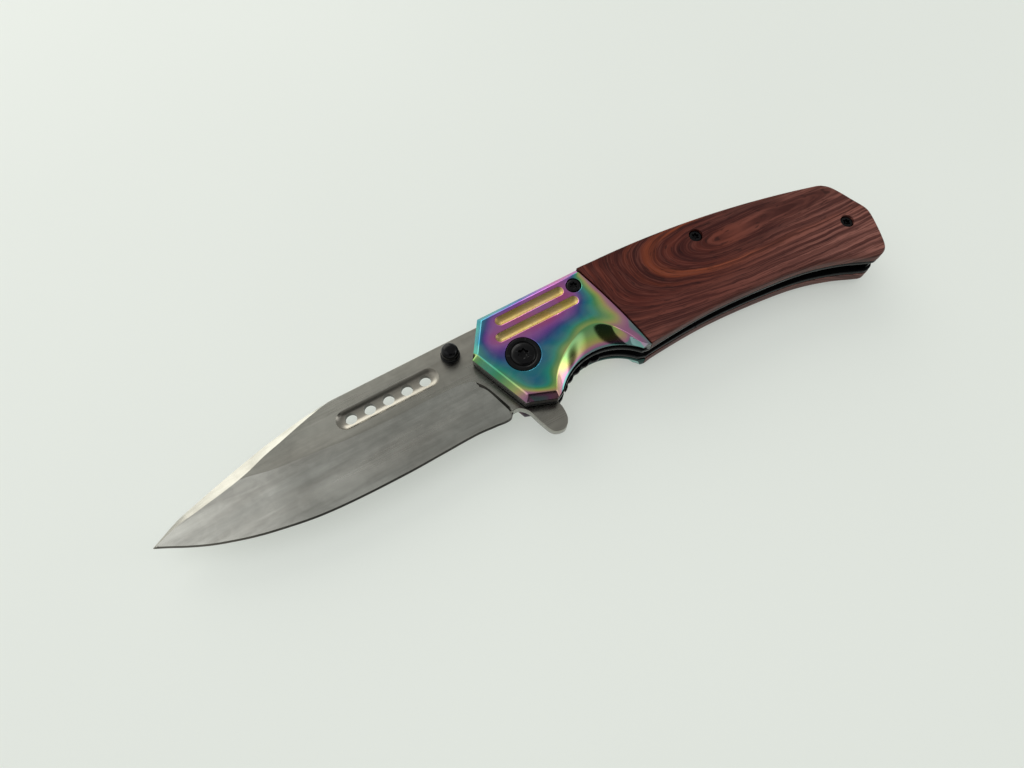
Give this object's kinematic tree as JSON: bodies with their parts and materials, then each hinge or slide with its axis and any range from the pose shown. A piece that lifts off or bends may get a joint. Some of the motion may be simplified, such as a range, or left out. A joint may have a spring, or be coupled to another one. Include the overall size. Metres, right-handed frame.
{
  "type": "folding pocket knife",
  "caption": "Folding pocket knife drawn open: pivoting blade with flipper and thumb studs, liner lock, coated metal bolsters, wooden scales and a pocket clip.",
  "frame": {"origin": "middle of the lower face of the box round the open knife, lying on its clip side", "axes": "+X from the blade's tip to the handle's tail, +Y from the edge side to the spine side, +Z out of the front face"},
  "size_m": [0.21, 0.037, 0.0169],
  "materials": {
    "satin_steel": "satin ground stainless steel",
    "black_steel": "black oxide, semi-gloss",
    "liner_steel": "dark coated steel with worn grey edges",
    "grey_steel": "ground grey steel",
    "bronze": "phosphor bronze",
    "rainbow_coating": "polished rainbow titanium coating",
    "rosewood": "satin oiled rosewood"
  },
  "bodies": {
    "handle": {"pivot_screw": "black_steel", "pivot_barrel": "black_steel", "washer_front": "bronze", "washer_rear": "bronze", "stop_pin": "grey_steel", "liner_front": "liner_steel", "liner_rear": "liner_steel", "bolster_standoff": "grey_steel", "back_spacer": "grey_steel", "bolster_front": "rainbow_coating", "bolster_rear": "rainbow_coating", "scale_front": "rosewood", "scale_rear": "rosewood", "bolster_screw_front": "black_steel", "bolster_screw_rear": "black_steel", "mid_screw_front": "black_steel", "mid_screw_rear": "black_steel", "tail_screw_front": "black_steel", "tail_screw_rear": "black_steel", "pocket_clip": "black_steel", "clip_screw_upper": "black_steel", "clip_screw_lower": "black_steel"},
    "blade": {"blade": "satin_steel", "thumb_stud_front": "black_steel", "thumb_stud_rear": "black_steel"},
    "lock_bar": {"lock_bar": "grey_steel", "detent_ball": "satin_steel"}
  },
  "joints": [
    {"name": "blade_pivot", "type": "hinge", "parent": "handle", "child": "blade", "pos_m": [-0.00254, 0.00353, 0.00955], "axis": [0, 0, 1], "range_deg": [0, 172]},
    {"name": "lock_bar_flex", "type": "hinge", "parent": "handle", "child": "lock_bar", "pos_m": [0.04546, -0.00627, 0.00685], "axis": [0, -1, 0], "range_deg": [0, 1.75], "deforming": ["lock_bar", "detent_ball"]}
  ],
  "couplings": [
    {"joint": "lock_bar_flex", "follows": "blade_pivot", "ratio": 0.0098837}
  ]
}
